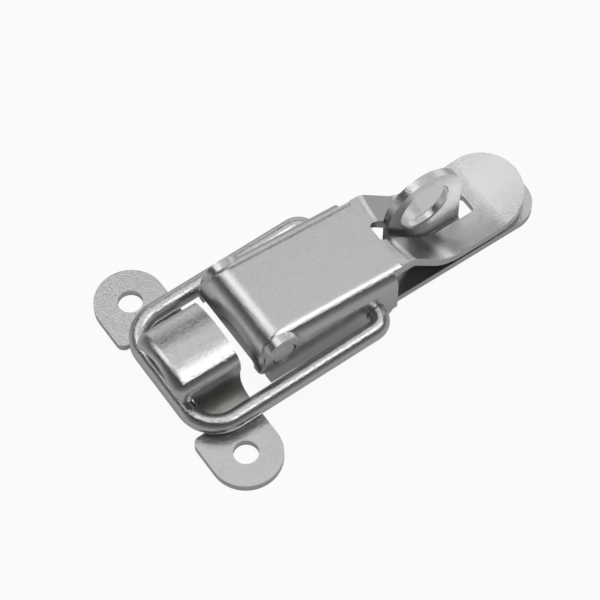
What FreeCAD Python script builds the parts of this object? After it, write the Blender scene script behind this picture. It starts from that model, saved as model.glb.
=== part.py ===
"""Over centre toggle latch with a padlock eye, shown closed.

Five pieces: a pressed base plate with two pivot ears and a padlock eye bent up out of it,
a drawn lever, a round wire bail, a pressed keeper and the pivot pin.

Millimetres. X runs along the latch from the keeper (-X) to the finger tab (+X), Z is up.
The origin is on the mounting plane, straight below the lever's pivot.
"""
import FreeCAD, Part
import math
import os

V = FreeCAD.Vector
Y_AXIS = V(0, 1, 0)
Z_AXIS = V(0, 0, 1)

# sheet and fits
sheet = 1.6                 # thickness of every pressed piece
pin_gap = 0.05              # radial running clearance of the pivot pin, lever and ears
bail_gap = 0.10             # radial running clearance of the bail ends in the lobes
side_gap = 0.2              # base edge to lever flange, each side
seat_gap = 0.3              # bail wire above the keeper's ears
hook_gap = 0.3              # bail wire to the front edge of the keeper's webs
tab_gap = 0.12              # finger tab above the base plate
leg_gap = 1.15              # bail legs to the lever's flanges

# lever
lever_width = 19.6          # outside the flanges
fold_radius = 3.0           # outside radius between the top and the flanges
nose_radius = 5.7           # outside radius between the top and the nose wall
nose_reach = 5.0            # pivot axis to the outside of the nose wall
pivot_height = 9.7          # pivot axis above the mounting plane
top_height = 14.1           # top of the lever straight above the pivot
top_slope = 5.05            # degrees, the closed lever falls towards the tab
nose_wall = 1.1             # nose wall below the pivot axis
nose_cheek = 2.8            # flanges below the pivot axis, at the nose
nose_corner = 1.0           # outside radius between the nose wall and the flanges
cheek_corner = 0.8
flange_front = 3.0          # front edge of the flanges, below the nose
flange_low = 2.3            # height of the flanges' lower edge
flange_corner = 0.6
lobe_radius = 4.75          # round lobes that hold the bail
bail_pivot_x = 19.2         # bail axis behind the pivot axis
bail_pivot_z = 5.0          # bail axis above the mounting plane
pad_radius = 4.15           # flat pad round the pivot hole

# finger tab
tab_width = 16.1
crease_x = 27.6             # where the middle of the top turns down into the tab
tab_slope = 44.0            # degrees, the falling part of the tab
tab_bend = 8.0              # radius where the falling part runs out
lip_x = 47.5                # where the thumb lip starts to rise
lip_slope = 14.0            # degrees
lip_bend = 18.0             # radius at the foot of the lip
tab_end = 57.0              # tip of the lip
tab_dish = 0.6              # the rim stands this much above the middle of the tab
slot_start = 25.9
slot_end = 46.7
slot_width = 4.0
slot_corner = 0.8

# pivot pin
pin_radius = 1.6
head_radius = 2.15
head_depth = 0.8
head_recess = 0.15          # pin face below the pad
head_ring = 0.25            # open ring between the head and its counterbore

# base plate
base_start = -1.5
base_end = 58.0
base_corner = 5.6           # rounded corners at the tab end
front_corner = 2.0
ear_width = 14.6            # outside the two pivot ears
ear_radius = 2.45           # round end of an ear, about the pin
ear_lean = 26.0             # degrees, how far the ears lie down towards their foot
ear_bend = 2.2              # outside radius where the ears are bent up
screw_radius = 2.25         # mounting holes for 4 mm screws, base and keeper
front_screw_x = 13.0
rear_screw_x = 53.4
eye_x = 36.1
eye_z = 12.2
eye_radius = 7.85
eye_hole_radius = 5.0
eye_bend = 0.8              # inside radius at the foot of the eye
notch_start = 27.8
notch_end = 49.3
notch_corner = 0.6

# bail
wire_radius = 1.75
bail_corner = 6.0           # centre line radius at the keeper end
bail_turn = 2.4             # centre line radius where the ends turn into the lobes
bail_tip = 0.5              # end of the wire inside the flange
cross_x = -18.1             # centre line of the cross wire

# keeper
web_width = 13.8            # outside the two webs
hood_width = 14.4           # the hood stands a little proud of the webs
hood_height = 12.8
hood_front = -20.1
hood_crown = 14.0           # radius across the top of the hood
hood_fold = 2.6             # outside radius along the hood's edges
lip_height = 7.4            # lower edge of the hood, beside and in front of the webs
arch_height = 11.7          # lower edge of the front lip at its middle
arch_end = 0.3              # the arch stops this far inside the hood's corners
root_radius = 3.0           # outside radius where the webs meet the ears
keeper_screw_x = -13.75
keeper_screw_y = 18.1
keeper_ear_radius = 6.5
ear_inner_y = 11.0          # inner corner of the ears, beside the neck
ear_corner = 1.5
neck_corner = 1.2

# worked out from the sizes above
flange_outer = lever_width / 2
flange_inner = flange_outer - sheet
flange_end = bail_pivot_x + lobe_radius
base_half = flange_inner - side_gap
ear_half = ear_width / 2
slope = math.tan(math.radians(top_slope))
leg_y = flange_outer + leg_gap + wire_radius
tab_low = 2 * sheet + tab_gap
cross_z = sheet + seat_gap + wire_radius
keeper_back = keeper_screw_x + keeper_ear_radius
keeper_front = keeper_screw_x - keeper_ear_radius
neck_front = cross_x + wire_radius + hook_gap
REACH = base_end            # cutting bodies reach past the part on every side


def unit(vector):
    return vector * (1.0 / vector.Length)


def rounded(points, radii, closed=True):
    """Wire through points, with each corner rounded by its own radius."""
    count = len(points)
    spans = []
    for i, point in enumerate(points):
        if radii[i] == 0:
            spans.append((point, point, None))
            continue
        back = unit(points[i - 1] - point)
        ahead = unit(points[(i + 1) % count] - point)
        half = back.getAngle(ahead) / 2
        cut = radii[i] / math.tan(half)
        middle = point + unit(back + ahead) * (radii[i] / math.sin(half) - radii[i])
        spans.append((point + back * cut, point + ahead * cut, middle))
    edges = []
    for i, (start, end, middle) in enumerate(spans):
        if middle is not None:
            edges.append(Part.Arc(start, middle, end).toShape())
        if i + 1 < count or closed:
            following = spans[(i + 1) % count][0]
            if end.distanceToPoint(following) > 1e-6:
                edges.append(Part.LineSegment(end, following).toShape())
    return Part.Wire(edges)


def side_plate(outline, radii, half):
    """Body with the side view outline [(x, z)], as wide as 2 * half."""
    wire = rounded([V(x, -half, z) for x, z in outline], radii)
    return Part.Face(wire).extrude(V(0, 2 * half, 0))


def plan_plate(outline, radii, low, high):
    """Body with the plan outline [(x, y)] from height low to high."""
    wire = rounded([V(x, y, low) for x, y in outline], radii)
    return Part.Face(wire).extrude(V(0, 0, high - low))


def section_bar(outline, radii, start, end):
    """Bar along X with the cross section [(y, z)]."""
    wire = rounded([V(start, y, z) for y, z in outline], radii)
    return Part.Face(wire).extrude(V(end - start, 0, 0))


def block(x0, x1, y0, y1, z0, z1):
    return Part.makeBox(x1 - x0, y1 - y0, z1 - z0, V(x0, y0, z0))


def cross_cylinder(x, z, radius, y0, y1):
    """Cylinder along Y from y0 to y1."""
    return Part.makeCylinder(radius, y1 - y0, V(x, y0, z), Y_AXIS)


def top_at(x):
    """Height of the lever's flat top."""
    return top_height - slope * x


def lever_block(inset):
    """Solid lever without its openings, shrunk by inset on every wall.

    The folds along the top run down the nose and get tighter towards its lower edge.
    """
    half = flange_outer - inset
    nose = -nose_reach + inset
    drop = inset / math.cos(math.radians(top_slope))
    outline = [(nose, top_at(nose) - drop), (REACH, top_at(REACH) - drop), (REACH, -REACH), (nose, -REACH)]
    body = side_plate(outline, [nose_radius - inset, 0, 0, 0], half)
    wide = fold_radius - inset
    tight = max(nose_corner - inset, nose_corner / 2)
    radii = []
    for number, edge in enumerate(body.Edges, 1):
        middle = edge.CenterOfMass
        on_side = abs(abs(middle.y) - half) < 1e-4
        if not on_side or middle.z < -REACH + 1 or middle.x > REACH - 1:
            continue
        first, last = edge.Vertexes[0].Point, edge.Vertexes[-1].Point
        if abs(first.x - last.x) < 1e-6:
            radii.append((number, tight, tight))
        elif edge.Curve.TypeId == "Part::GeomCircle":
            radii.append((number, tight, wide) if first.z < last.z else (number, wide, tight))
        else:
            radii.append((number, wide, wide))
    document = FreeCAD.newDocument("lever_folds")
    sharp = document.addObject("Part::Feature", "sharp")
    sharp.Shape = body
    folded = document.addObject("Part::Fillet", "folded")
    folded.Base = sharp
    folded.Edges = radii
    document.recompute()
    return folded.Shape.copy()


def tab_bar(thickness):
    """Bar under the tab's dished top face: an arc swept along the tab's side view."""
    fall = math.tan(math.radians(tab_slope))
    rise = math.tan(math.radians(lip_slope))
    lead = 6.0
    start = V(crease_x - lead, 0, top_at(crease_x) + lead * fall)
    foot = V(crease_x + (top_at(crease_x) - tab_low) / fall, 0, tab_low)
    lip = V(lip_x, 0, tab_low)
    end = V(tab_end + lead, 0, tab_low + (tab_end + lead - lip_x) * rise)
    path = rounded([start, foot, lip, end], [0, tab_bend, lip_bend, 0], closed=False)
    side = V(0, tab_width * 0.75, 0)
    normal = V(math.sin(math.radians(tab_slope)), 0, math.cos(math.radians(tab_slope)))
    rim = normal * (tab_dish * (side.y / (tab_width / 2)) ** 2)
    down = normal * thickness
    upper = Part.Arc(start - side + rim, start, start + side + rim).toShape()
    lower = Part.Arc(start + side + rim - down, start - down, start - side + rim - down).toShape()
    far_side = Part.LineSegment(start + side + rim, start + side + rim - down).toShape()
    near_side = Part.LineSegment(start - side + rim - down, start - side + rim).toShape()
    return path.makePipeShell([Part.Wire([upper, far_side, lower, near_side])], True, True)


def make_lever():
    shell = lever_block(0).cut(lever_block(sheet))
    low = bail_pivot_z - lobe_radius
    wall = pivot_height - nose_wall
    cheek = pivot_height - nose_cheek
    flange = side_plate([(-REACH, REACH), (-REACH, cheek), (-flange_front, cheek), (-flange_front, flange_low),
                         (flange_end, flange_low), (flange_end, REACH)],
                        [0, 0, flange_corner, flange_corner, 0, 0], REACH)
    inner = flange_inner - cheek_corner / 2
    below_nose = section_bar([(-inner, -REACH), (inner, -REACH), (inner, wall), (-inner, wall)],
                             [0, 0, cheek_corner, cheek_corner], -REACH, -flange_front)
    lobe = cross_cylinder(bail_pivot_x, bail_pivot_z, lobe_radius, -REACH, REACH)
    lobe = lobe.common(block(-REACH, REACH, -REACH, REACH, -REACH, bail_pivot_z))
    half = tab_width / 2
    neck = block(flange_end - 1, REACH, -half, half, 0, REACH)
    shell = shell.common(flange.fuse([lobe, neck])).cut(below_nose)
    pads = []
    for start, end in ((-flange_outer, -flange_inner), (flange_inner, flange_outer)):
        pads.append(cross_cylinder(0, pivot_height, pad_radius, start, end))

    joint = crease_x - 3
    under_top = side_plate([(joint, top_at(joint)), (2 * REACH, top_at(2 * REACH)), (2 * REACH, -REACH),
                            (joint, -REACH)], [0, 0, 0, 0], REACH)
    plan = plan_plate([(joint, -half), (tab_end, -half), (tab_end, half), (joint, half)],
                      [0, half - 0.01, half - 0.01, 0], -REACH, REACH)
    tab = tab_bar(sheet).common(under_top).common(plan)
    front = shell.common(block(-REACH, joint, -REACH, REACH, -REACH, REACH))
    back = shell.common(block(joint, lip_x, -REACH, REACH, -REACH, REACH)).common(tab_bar(top_height))
    lever = front.fuse(pads + [back, tab])

    slot = plan_plate([(slot_start, -slot_width / 2), (slot_end, -slot_width / 2),
                       (slot_end, slot_width / 2), (slot_start, slot_width / 2)],
                      [slot_corner] * 4, -REACH, REACH)
    holes = [slot, cross_cylinder(bail_pivot_x, bail_pivot_z, wire_radius + bail_gap, -REACH, REACH),
             cross_cylinder(0, pivot_height, pin_radius + pin_gap, -REACH, REACH)]
    for end in (-flange_outer, flange_outer - head_depth):
        holes.append(cross_cylinder(0, pivot_height, head_radius + head_ring, end, end + head_depth))
    return lever.cut(holes).removeSplitter()


def make_pivot_pin():
    half = flange_outer - head_recess
    depth = head_depth - head_recess - pin_gap
    pin = cross_cylinder(0, pivot_height, pin_radius, -half, half)
    heads = [cross_cylinder(0, pivot_height, head_radius, end, end + depth) for end in (-half, half - depth)]
    return pin.fuse(heads).removeSplitter()


def ear_side_view():
    """Side view of the pivot ears: round about the pin, leaning back to a foot on the plate."""
    lean = math.radians(ear_lean)
    across = V(math.sin(lean), 0, math.cos(lean)) * ear_radius
    run = 1 / math.tan(lean)
    foot_start = -across.x + (pivot_height - across.z - sheet) * run
    foot_end = across.x + (pivot_height + across.z - sheet) * run
    arm = side_plate([(across.x, pivot_height + across.z), (-across.x, pivot_height - across.z),
                      (foot_start, sheet), (foot_start, -1), (foot_end, -1), (foot_end, sheet)],
                     [0, 0, 0, 0, 0, 0], REACH)
    disc = cross_cylinder(0, pivot_height, ear_radius, -REACH, REACH)
    return disc.fuse(arm), foot_start, foot_end


def make_base_plate():
    half = base_half
    fold = -sheet / 2 - eye_bend
    ears, foot_start, foot_end = ear_side_view()
    shoulder = foot_end + 0.5
    plate = plan_plate([(shoulder, -half), (base_end, -half), (base_end, half), (notch_end, half),
                        (notch_end, fold), (notch_start, fold), (notch_start, half), (shoulder, half)],
                       [notch_corner, base_corner, base_corner] + [notch_corner] * 5, 0, sheet)
    front = plan_plate([(base_start, -ear_half), (foot_start, -ear_half), (foot_start, ear_half),
                        (base_start, ear_half)], [front_corner, 0, 0, front_corner], 0, sheet)
    back = block(foot_end, shoulder + 2, -ear_half, ear_half, 0, sheet)
    top = pivot_height + ear_radius + 1
    inner = ear_half - sheet
    channel = section_bar([(-ear_half, 0), (ear_half, 0), (ear_half, top), (inner, top),
                           (inner, sheet), (-inner, sheet), (-inner, top), (-ear_half, top)],
                          [ear_bend, ear_bend, 0, 0, ear_bend - sheet, ear_bend - sheet, 0, 0],
                          -ear_radius - 1, foot_end)
    tongue = section_bar([(fold - 1, 0), (sheet / 2, 0), (sheet / 2, REACH), (-sheet / 2, REACH),
                          (-sheet / 2, sheet), (fold - 1, sheet)],
                         [0, eye_bend + sheet, 0, 0, eye_bend, 0],
                         eye_x - eye_radius, eye_x + eye_radius)
    disc = cross_cylinder(eye_x, eye_z, eye_radius, -REACH, REACH)
    foot = block(eye_x - eye_radius, eye_x + eye_radius, -REACH, REACH, -1, eye_z)
    base = plate.fuse([front, back, channel.common(ears), tongue.common(disc.fuse(foot))])
    holes = [cross_cylinder(eye_x, eye_z, eye_hole_radius, -sheet, sheet),
             cross_cylinder(0, pivot_height, pin_radius + pin_gap, -REACH, REACH)]
    for x in (front_screw_x, rear_screw_x):
        holes.append(Part.makeCylinder(screw_radius, 3 * sheet, V(x, 0, -sheet)))
    return base.cut(holes).removeSplitter()


def make_bail():
    """Round wire in one sloping plane: two ends, two legs and the cross wire."""
    tip = flange_inner - bail_tip
    corners = [(bail_pivot_x, tip, bail_pivot_z), (bail_pivot_x, leg_y, bail_pivot_z),
               (cross_x, leg_y, cross_z), (cross_x, -leg_y, cross_z),
               (bail_pivot_x, -leg_y, bail_pivot_z), (bail_pivot_x, -tip, bail_pivot_z)]
    path = rounded([V(*corner) for corner in corners],
                   [0, bail_turn, bail_corner, bail_corner, bail_turn, 0], closed=False)
    circle = Part.Circle(V(bail_pivot_x, tip, bail_pivot_z), Y_AXIS, wire_radius).toShape()
    return path.makePipeShell([Part.Wire([circle])], True, True)


def hood_block(inset):
    """Solid hood, crowned across, with drawn corners, shrunk by inset."""
    front = hood_front + inset
    half = hood_width / 2 - inset
    hood = block(front, keeper_back + REACH, -half, half, 0, REACH)
    centre = V(-REACH, 0, hood_height - hood_crown)
    crown = Part.makeCylinder(hood_crown - inset, 3 * REACH, centre, V(1, 0, 0))
    hood = hood.common(crown)
    folds = []
    for edge in hood.Edges:
        middle = edge.CenterOfMass
        if middle.z > 1 and middle.x < keeper_back + REACH - 1:
            folds.append(edge)
    return hood.makeFillet(hood_fold - inset, folds)


def make_keeper():
    half = web_width / 2
    wide = keeper_screw_y + keeper_ear_radius
    ceiling = lip_height + sheet
    sides = []
    for side in (-1, 1):
        inner = side * (half - sheet)
        outer = side * half
        end = side * wide
        sides.append(section_bar([(end, 0), (inner, 0), (inner, ceiling), (outer, ceiling), (outer, sheet),
                                  (end, sheet)],
                                 [0, root_radius + sheet, 0, 0, root_radius, 0],
                                 keeper_front, keeper_back))
    end = keeper_ear_radius - 0.01
    plan = plan_plate([(keeper_back, wide), (keeper_front, wide), (keeper_front, ear_inner_y),
                       (neck_front, ear_inner_y), (neck_front, -ear_inner_y), (keeper_front, -ear_inner_y),
                       (keeper_front, -wide), (keeper_back, -wide)],
                      [end, end, ear_corner, neck_corner, neck_corner, ear_corner, end, end],
                      -REACH, REACH)
    hood = hood_block(0).cut(hood_block(sheet))
    hood = hood.common(block(-REACH, keeper_back, -REACH, REACH, lip_height, REACH))
    drop = arch_height - lip_height
    arch_half = hood_width / 2 - arch_end
    arch_radius = (arch_half ** 2 + drop ** 2) / (2 * drop)
    arch = Part.makeCylinder(arch_radius, hood_fold + 1, V(hood_front - 1, 0, arch_height - arch_radius),
                             V(1, 0, 0))
    keeper = hood.cut(arch).fuse([side.common(plan) for side in sides])
    holes = []
    for side in (-1, 1):
        centre = V(keeper_screw_x, side * keeper_screw_y, -sheet)
        holes.append(Part.makeCylinder(screw_radius, 3 * sheet, centre))
    return keeper.cut(holes).removeSplitter()


nodes = {
    "base_plate": make_base_plate,
    "lever": make_lever,
    "pivot_pin": make_pivot_pin,
    "bail": make_bail,
    "keeper": make_keeper,
}
os.makedirs("parts", exist_ok=True)
for node, make in nodes.items():
    shape = make()
    solids = shape.Solids
    box = shape.BoundBox
    print(node, len(solids), "solid", shape.isValid(), "volume", round(shape.Volume, 1),
          [round(v, 2) for v in (box.XMin, box.XMax, box.YMin, box.YMax, box.ZMin, box.ZMax)])
    solids[0].exportStep("parts/" + node + ".step")
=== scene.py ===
# %% [markdown]
# # An over centre toggle latch in bright zinc
# The latch is five steel pieces: a base plate, a lever, a round wire bail, a hooked keeper and
# a pivot pin. The engineering model gives every size and place, so this lesson only dresses it:
# it breaks the sharp cut edges, bends the wire smoothly and gives the steel its zinc.

# %% Load the frame
import math

import bmesh
import bpy
from mathutils import Matrix, Vector


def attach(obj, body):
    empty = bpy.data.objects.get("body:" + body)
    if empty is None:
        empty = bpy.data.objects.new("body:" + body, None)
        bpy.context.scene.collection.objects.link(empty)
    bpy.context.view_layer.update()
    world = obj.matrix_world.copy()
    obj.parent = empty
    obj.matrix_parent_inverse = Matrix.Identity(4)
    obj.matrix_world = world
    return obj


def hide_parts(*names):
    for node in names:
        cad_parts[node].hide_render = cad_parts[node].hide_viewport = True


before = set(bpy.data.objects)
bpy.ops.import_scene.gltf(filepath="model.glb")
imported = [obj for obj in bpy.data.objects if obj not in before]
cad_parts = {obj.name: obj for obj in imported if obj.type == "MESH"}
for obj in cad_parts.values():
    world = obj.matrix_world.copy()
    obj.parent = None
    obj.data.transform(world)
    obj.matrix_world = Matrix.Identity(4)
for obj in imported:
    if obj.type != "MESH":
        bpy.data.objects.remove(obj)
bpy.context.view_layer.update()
mm = 0.001

# %% [markdown]
# ## The camera
# The latch lies on a table and is seen from high above the keeper's end. A long lens keeps
# the far end nearly as large as the near one. We place the camera by turning round a target
# point, which is easier to read than three bare coordinates.

# %% Camera
azimuth = math.radians(34.82)
elevation = math.radians(59.55)
target = Vector((11.453, 2.078, 0)) * mm
distance = 459.1 * mm

camera_data = bpy.data.cameras.new("camera")
camera_data.lens = 156
camera_data.sensor_width = 36
camera = bpy.data.objects.new("camera", camera_data)
bpy.context.scene.collection.objects.link(camera)
away = Vector((math.sin(azimuth), math.cos(azimuth), 0))
look = away * math.cos(elevation) - Vector((0, 0, 1)) * math.sin(elevation)
camera.location = target - look * distance
camera.rotation_euler = look.to_track_quat("-Z", "Y").to_euler()
bpy.context.scene.camera = camera
print("camera at", [round(v, 3) for v in camera.location])

# %% [markdown]
# ## Pressed sheet with softened edges
# Real cut sheet never has a knife edge: the press leaves a small round that catches a thin
# line of light. A copy of each engineering mesh keeps the true form. We merge its loose
# triangles, dissolve the flat ones into whole faces, and bevel only the edges that are sharp.

# %% A helper for pressed sheet
same_point = 1e-6
flat_turn = math.radians(0.5)
sharp_turn = math.radians(38)


def rounded(bm, edges, width, steps):
    """Bevels the edges by width with a round profile of so many steps."""
    bmesh.ops.bevel(bm, geom=edges, offset=width, segments=steps, profile=0.5,
                    affect="EDGES", clamp_overlap=True, material=-1)


def softened(node, body, width, crease=None, crease_width=0, steps=1):
    """A smooth copy of a CAD node with its sharp edges rounded by width, and creases more."""
    bm = bmesh.new()
    bm.from_mesh(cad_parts[node].data)
    bmesh.ops.remove_doubles(bm, verts=bm.verts, dist=same_point)
    bmesh.ops.dissolve_limit(bm, angle_limit=flat_turn, verts=bm.verts, edges=bm.edges)
    if crease:
        lines = [e for e in bm.edges if e.is_manifold and crease(e)]
        rounded(bm, lines, crease_width, steps)
        print(node, "crease edges", len(lines))
    sharp = [e for e in bm.edges if e.is_manifold and e.calc_face_angle() > sharp_turn]
    rounded(bm, sharp, width, 3)
    return finished(bm, node + "_steel", node, body)


def finished(bm, name, node, body):
    """Turns a bmesh into a smooth shaded piece that rides on its body."""
    for face in bm.faces:
        face.smooth = True
    mesh = bpy.data.meshes.new(name)
    bm.to_mesh(mesh)
    bm.free()
    piece = bpy.data.objects.new(name, mesh)
    bpy.context.scene.collection.objects.link(piece)
    weighted = piece.modifiers.new("weighted", "WEIGHTED_NORMAL")
    weighted.weight = 100
    weighted.keep_sharp = False
    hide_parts(node)
    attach(piece, body)
    print(name, len(mesh.polygons), "faces")
    return piece


edge_break = 0.16 * mm
eye = Vector((36.1, 0, 12.2)) * mm
eye_hole = 5.0 * mm


def eye_rim(edge):
    """The two rims of the padlock hole, which the press leaves with a wide bright chamfer."""
    first, last = (v.co for v in edge.verts)
    reaches = [(Vector((co.x, 0, co.z)) - eye).length for co in (first, last)]
    on_rim = all(abs(reach - eye_hole) < 0.02 * mm for reach in reaches)
    return on_rim and abs(first.y - last.y) < 0.1 * mm and edge.calc_face_angle() > 0.8


def tab_crease(edge):
    """The line across the lever where its top turns down into the finger tab."""
    middle = (edge.verts[0].co + edge.verts[1].co) / 2
    bent = 0.4 < edge.calc_face_angle() < 0.9
    return bent and 26.5 * mm < middle.x < 30 * mm and middle.z > 10.9 * mm


base_plate = softened("base_plate", "base", edge_break, eye_rim, 0.45 * mm)
lever = softened("lever", "lever", edge_break, tab_crease, 1.3 * mm, 8)
keeper = softened("keeper", "bail", 0.22 * mm)
pivot_pin = softened("pivot_pin", "base", 0.05 * mm)

# %% [markdown]
# ## The wire bail
# The bail is one rod bent cold in a machine. We do the same: a circle of points is pushed
# along each straight run and spun round each bend, so the wire keeps its roundness.

# %% Bend the wire
wire_radius = 1.75 * mm
leg_y = 12.7 * mm
pivot = Vector((19.2, 0, 5.0)) * mm
cross = Vector((-18.1, 0, 3.65)) * mm
tip_y = 7.7 * mm
corner_radius = 6.0 * mm
turn_radius = 2.4 * mm

start = Matrix.Translation((pivot.x, tip_y, pivot.z)) @ Matrix.Rotation(math.radians(-90), 4, "X")
along = (cross - pivot).normalized()
slope_normal = Vector((0, 1, 0)).cross(along)


def push(geometry, step):
    """Extrudes the end face straight along step and returns the new end face."""
    made = bmesh.ops.extrude_face_region(bm, geom=[geometry])
    verts = [v for v in made["geom"] if isinstance(v, bmesh.types.BMVert)]
    bmesh.ops.translate(bm, verts=verts, vec=step)
    bmesh.ops.delete(bm, geom=[geometry], context="FACES_ONLY")
    return [f for f in made["geom"] if isinstance(f, bmesh.types.BMFace)][0]


def bend(geometry, centre, angle, steps):
    """Spins the end face round centre in the bail's plane and returns the new end face."""
    turn = Matrix.Rotation(angle / steps, 3, slope_normal)
    for _ in range(steps):
        made = bmesh.ops.extrude_face_region(bm, geom=[geometry])
        verts = [v for v in made["geom"] if isinstance(v, bmesh.types.BMVert)]
        bmesh.ops.rotate(bm, verts=verts, cent=centre, matrix=turn)
        bmesh.ops.delete(bm, geom=[geometry], context="FACES_ONLY")
        geometry = [f for f in made["geom"] if isinstance(f, bmesh.types.BMFace)][0]
    return geometry


leg = along * ((cross - pivot).length - turn_radius - corner_radius)
stub = Vector((0, leg_y - turn_radius - tip_y, 0))
turn_centre = pivot + along * turn_radius
turn_side = Vector((0, leg_y - turn_radius, 0))
corner_centre = cross - along * corner_radius
corner_side = Vector((0, leg_y - corner_radius, 0))
quarter = math.radians(90)
turn_steps, corner_steps = 20, 32

bm = bmesh.new()
bmesh.ops.create_circle(bm, cap_ends=True, radius=wire_radius, segments=64, matrix=start)
end = bm.faces[:][0]
end.copy()  # this copy stays behind and closes the first tip
end = push(end, stub)
end = bend(end, turn_centre + turn_side, quarter, turn_steps)
end = push(end, leg)
end = bend(end, corner_centre + corner_side, quarter, corner_steps)
end = push(end, -2 * corner_side)
end = bend(end, corner_centre - corner_side, quarter, corner_steps)
end = push(end, -leg)
end = bend(end, turn_centre - turn_side, quarter, turn_steps)
end = push(end, stub)
bmesh.ops.remove_doubles(bm, verts=bm.verts, dist=same_point)
bmesh.ops.recalc_face_normals(bm, faces=bm.faces)
print("wire ends at", [round(v / mm, 2) for v in end.calc_center_median()],
      "open edges", sum(1 for e in bm.edges if not e.is_manifold))
bail = finished(bm, "bail_wire", "bail", "bail")

# %% [markdown]
# ## Bright zinc
# Zinc plating is nearly a mirror with a fine satin haze. The metal colour is a light neutral
# grey, and its roughness changes slowly, as handling and rolling leave it. One node group
# makes the haze and the fine grain for every piece. Down in the keeper's webs a soft mask by
# height makes the zinc rougher and paints shade into its colour, dark and a little warm.

# %% Zinc node group
def make_zinc_group():
    """Slow clouds for the roughness and a fine grain for the normal, in Object coordinates."""
    group = bpy.data.node_groups.new("zinc haze", "ShaderNodeTree")
    for name, way, kind in (("Vector", "INPUT", "Vector"), ("Grain scale", "INPUT", "Float"),
                            ("Grain depth", "INPUT", "Float"), ("Haze low", "INPUT", "Float"),
                            ("Haze high", "INPUT", "Float"), ("Roughness", "OUTPUT", "Float"),
                            ("Cloud", "OUTPUT", "Float"), ("Normal", "OUTPUT", "Vector")):
        group.interface.new_socket(name, in_out=way, socket_type="NodeSocket" + kind)
    nodes, links = group.nodes, group.links
    inputs = nodes.new("NodeGroupInput")
    outputs = nodes.new("NodeGroupOutput")
    cloud = nodes.new("ShaderNodeTexNoise")
    cloud.inputs["Scale"].default_value = 160.0
    cloud.inputs["Detail"].default_value = 4.0
    spread = nodes.new("ShaderNodeMapRange")
    grain = nodes.new("ShaderNodeTexNoise")
    grain.inputs["Detail"].default_value = 0.0
    bump = nodes.new("ShaderNodeBump")
    bump.inputs["Distance"].default_value = 0.032 * mm
    links.new(inputs.outputs["Vector"], cloud.inputs["Vector"])
    links.new(inputs.outputs["Vector"], grain.inputs["Vector"])
    links.new(inputs.outputs["Grain scale"], grain.inputs["Scale"])
    links.new(inputs.outputs["Grain depth"], bump.inputs["Strength"])
    links.new(grain.outputs["Fac"], bump.inputs["Height"])
    links.new(cloud.outputs["Fac"], spread.inputs["Value"])
    spread.inputs["From Min"].default_value = 0.3
    spread.inputs["From Max"].default_value = 0.7
    links.new(inputs.outputs["Haze low"], spread.inputs["To Min"])
    links.new(inputs.outputs["Haze high"], spread.inputs["To Max"])
    links.new(spread.outputs["Result"], outputs.inputs["Roughness"])
    links.new(cloud.outputs["Fac"], outputs.inputs["Cloud"])
    links.new(bump.outputs["Normal"], outputs.inputs["Normal"])
    return group


zinc_group = make_zinc_group()
grain_scale = 6000.0
zinc_grey = (0.64, 0.645, 0.65)


def zinc(name, colour, depth, low, high):
    """A zinc material with its grain depth and its least and greatest roughness."""
    material = bpy.data.materials.new(name)
    material.use_nodes = True
    nodes, links = material.node_tree.nodes, material.node_tree.links
    shader = nodes["Principled BSDF"]
    shader.inputs["Base Color"].default_value = (*colour, 1)
    shader.inputs["Metallic"].default_value = 1.0
    place = nodes.new("ShaderNodeTexCoord")
    haze = nodes.new("ShaderNodeGroup")
    haze.name = "haze"
    haze.node_tree = zinc_group
    haze.inputs["Grain scale"].default_value = grain_scale
    haze.inputs["Grain depth"].default_value = depth
    haze.inputs["Haze low"].default_value = low
    haze.inputs["Haze high"].default_value = high
    links.new(place.outputs["Object"], haze.inputs["Vector"])
    links.new(haze.outputs["Roughness"], shader.inputs["Roughness"])
    links.new(haze.outputs["Normal"], shader.inputs["Normal"])
    return material


def math_node(tree, operation, *terms):
    """A Math node whose terms are plain numbers or the outputs of other nodes."""
    node = tree.nodes.new("ShaderNodeMath")
    node.operation = operation
    for socket, term in zip(node.inputs, terms):
        if isinstance(term, (int, float)):
            socket.default_value = term
        else:
            tree.links.new(term, socket)
    return node


def fade(tree, value, start, full):
    """A mask that is 0 where value is at start and grows to 1 where it is at full."""
    node = tree.nodes.new("ShaderNodeMapRange")
    node.inputs["From Min"].default_value = start
    node.inputs["From Max"].default_value = full
    tree.links.new(value, node.inputs["Value"])
    return node.outputs["Result"]


def dull_with_painted_shade(material, colour, top, foot, side):
    """Makes the zinc rougher and paints shade into its colour, dark and a little warm, from height
    top down to foot, as far out as side.
    """
    tree = material.node_tree
    nodes, links = tree.nodes, tree.links
    shader, haze = nodes["Principled BSDF"], nodes["haze"]
    place = [node for node in nodes if node.type == "TEX_COORD"][0]
    split = nodes.new("ShaderNodeSeparateXYZ")
    links.new(place.outputs["Object"], split.inputs["Vector"])
    out = math_node(tree, "ABSOLUTE", split.outputs["Y"]).outputs[0]
    # The mask of painted shade: strongest low down and inside side.
    low = fade(tree, split.outputs["Z"], top, foot)
    inside = fade(tree, out, side, side - 1.5 * mm)
    shade_zone = math_node(tree, "MULTIPLY", low, inside).outputs[0]
    clouds = math_node(tree, "MULTIPLY_ADD", haze.outputs["Cloud"], 1.6, 0.2).outputs[0]
    shade_share = math_node(tree, "MULTIPLY", shade_zone, clouds)
    shade_share.use_clamp = True
    rough = math_node(tree, "MULTIPLY_ADD", shade_share.outputs[0], 0.4, haze.outputs["Roughness"])
    # Painted shade: the base colour is mixed towards the dark warm colour inside the mask.
    shade_tint = nodes.new("ShaderNodeMix")
    shade_tint.data_type = "RGBA"
    shade_tint.inputs["A"].default_value = shader.inputs["Base Color"].default_value
    shade_tint.inputs["B"].default_value = (*colour, 1)
    links.new(shade_share.outputs[0], shade_tint.inputs["Factor"])
    links.new(shade_tint.outputs["Result"], shader.inputs["Base Color"])
    links.new(rough.outputs[0], shader.inputs["Roughness"])
    return material


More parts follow.
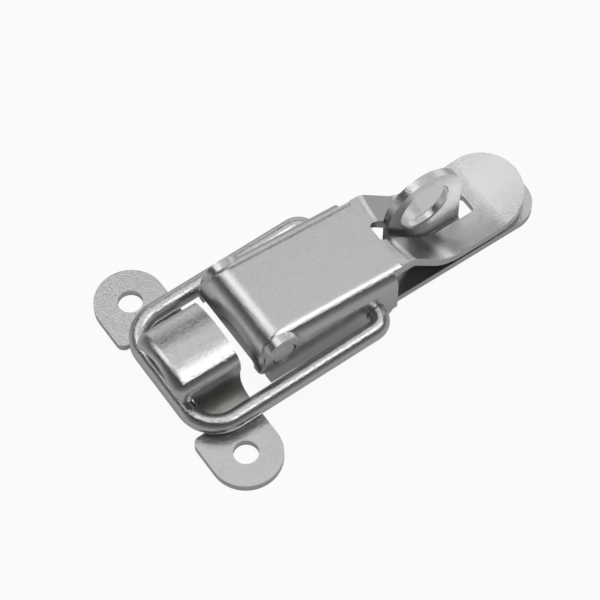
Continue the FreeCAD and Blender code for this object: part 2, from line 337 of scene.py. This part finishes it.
sheet_zinc = zinc("bright zinc sheet", zinc_grey, 1.0, 0.12, 0.2)
# The keeper's webs get painted shade low down at their foot, dark and a little warm.
keeper_zinc = dull_with_painted_shade(zinc("bright zinc keeper", zinc_grey, 1.0, 0.12, 0.2),
                     colour=(0.36, 0.35, 0.33), top=7.0 * mm, foot=4.5 * mm, side=10.6 * mm)
wire_zinc = zinc("bright zinc wire", zinc_grey, 1.2, 0.11, 0.18)
pin_zinc = zinc("bright zinc pin", (0.76, 0.765, 0.77), 1.0, 0.3, 0.45)
for piece, material in ((base_plate, sheet_zinc), (lever, sheet_zinc), (keeper, keeper_zinc),
                        (bail, wire_zinc), (pivot_pin, pin_zinc)):
    piece.data.materials.clear()
    piece.data.materials.append(material)
    print(piece.name, "wears", material.name)

# %% [markdown]
# ## Table and lights
# Bright metal shows what stands round it more than its own colour. So the studio matters:
# a pale table, soft lamps that each light one set of folds, and a dark sky that draws the
# shape beside every highlight. The table looks white to the camera alone, so that the
# lamps can stay low enough to keep the zinc grey.

# %% Table
bm = bmesh.new()
bmesh.ops.create_grid(bm, x_segments=1, y_segments=1, size=3.0)
floor_mesh = bpy.data.meshes.new("table")
bm.to_mesh(floor_mesh)
bm.free()
floor = bpy.data.objects.new("table", floor_mesh)
bpy.context.scene.collection.objects.link(floor)
floor.location.z = -0.02 * mm
paper = bpy.data.materials.new("table paper")
paper.use_nodes = True
tree = paper.node_tree
nodes, links = tree.nodes, tree.links
paper_shader = nodes["Principled BSDF"]
paper_shader.inputs["Base Color"].default_value = (0.65, 0.65, 0.65, 1)
paper_shader.inputs["Roughness"].default_value = 0.9
glow = nodes.new("ShaderNodeEmission")
blend = nodes.new("ShaderNodeMixShader")
rays = nodes.new("ShaderNodeLightPath")
white = 0.0
for ray, weight in (("Is Camera Ray", 0.94), ("Is Glossy Ray", 0.16),
                    ("Is Transmission Ray", 0.16)):
    white = math_node(tree, "MULTIPLY_ADD", rays.outputs[ray], weight, white).outputs[0]
links.new(white, blend.inputs["Fac"])
links.new(paper_shader.outputs["BSDF"], blend.inputs[1])
links.new(glow.outputs["Emission"], blend.inputs[2])
links.new(blend.outputs["Shader"], nodes["Material Output"].inputs["Surface"])
floor.data.materials.append(paper)
print("table top at", round(floor.location.z / mm, 3), "mm")

# %% Lamps
def softbox(name, towards, reach, width, height, radiance):
    """A soft lamp seen from the target along towards, with an even brightness of radiance."""
    data = bpy.data.lights.new(name, "AREA")
    data.shape = "RECTANGLE"
    data.size, data.size_y = width, height
    data.energy = radiance * math.pi * width * height
    lamp = bpy.data.objects.new(name, data)
    bpy.context.scene.collection.objects.link(lamp)
    direction = Vector(towards).normalized()
    lamp.location = target + direction * reach
    level = (Vector((1, 0, 0)) - direction * direction.x).normalized()
    lamp.rotation_euler = Matrix((level, direction.cross(level), direction)).transposed().to_euler()
    print(name, round(data.energy, 2), "W")


softbox("key softbox", (0.29, -0.28, 0.915), 0.6, 0.5, 0.21, 2.1)
softbox("left softbox", (-0.17, 0.42, 0.89), 0.6, 0.28, 0.5, 1.3)
softbox("ceiling panel", (0.40, 0.27, 0.875), 0.62, 0.40, 0.50, 0.7)
softbox("far softbox", (0.40, 0.86, 0.32), 0.62, 0.4, 0.3, 0.6)
softbox("right softbox", (0.85, 0.4, 0.34), 0.6, 0.3, 0.4, 0.8)
softbox("low left panel", (-0.88, 0.4, 0.22), 0.6, 0.22, 0.22, 0.4)

# %% Sky
world = bpy.data.worlds.new("studio")
bpy.context.scene.world = world
world.use_nodes = True
nodes, links = world.node_tree.nodes, world.node_tree.links
place = nodes.new("ShaderNodeTexCoord")
split = nodes.new("ShaderNodeSeparateXYZ")
ramp = nodes.new("ShaderNodeValToRGB")
links.new(place.outputs["Generated"], split.inputs["Vector"])
links.new(split.outputs["Z"], ramp.inputs["Fac"])
links.new(ramp.outputs["Color"], nodes["Background"].inputs["Color"])
elements = ramp.color_ramp.elements
elements[0].color = (0.35, 0.35, 0.35, 1)
elements[1].color = (0.1, 0.1, 0.1, 1)
for height, grey in ((0.3, 0.18), (0.55, 0.14), (0.78, 0.06)):
    elements.new(height).color = (grey, grey, grey, 1)
print("sky", [(round(e.position, 2), round(e.color[0], 2)) for e in elements])

bpy.context.scene.view_settings.view_transform = "Standard"
